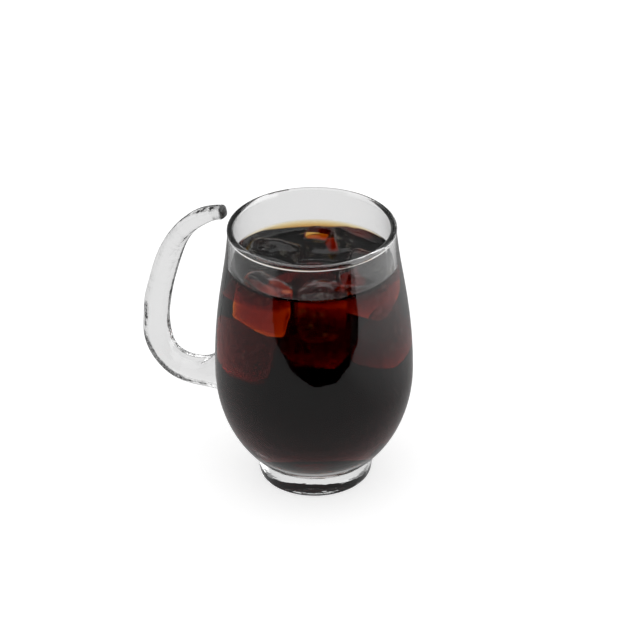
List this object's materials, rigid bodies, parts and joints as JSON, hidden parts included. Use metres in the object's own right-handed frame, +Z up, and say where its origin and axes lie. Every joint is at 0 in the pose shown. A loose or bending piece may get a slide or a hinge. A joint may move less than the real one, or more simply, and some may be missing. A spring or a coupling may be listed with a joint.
{
  "type": "filled glass mug",
  "caption": "Clear egg-shaped glass mug with an open, free-ended handle and a short foot, filled near the top with dark iced coffee.",
  "frame": {"origin": "centre of the ring under the foot that the mug stands on", "axes": "+Z up along the mug's axis, the handle reaches towards -X, +Y across the handle"},
  "size_m": [0.1228, 0.0814, 0.115],
  "materials": {
    "glass": "clear, fire-polished",
    "coffee": "dark red-brown liquid",
    "ice": "clear, melted smooth"
  },
  "bodies": {
    "root": {"glass_mug": "glass", "coffee": "coffee"}
  },
  "joints": []
}
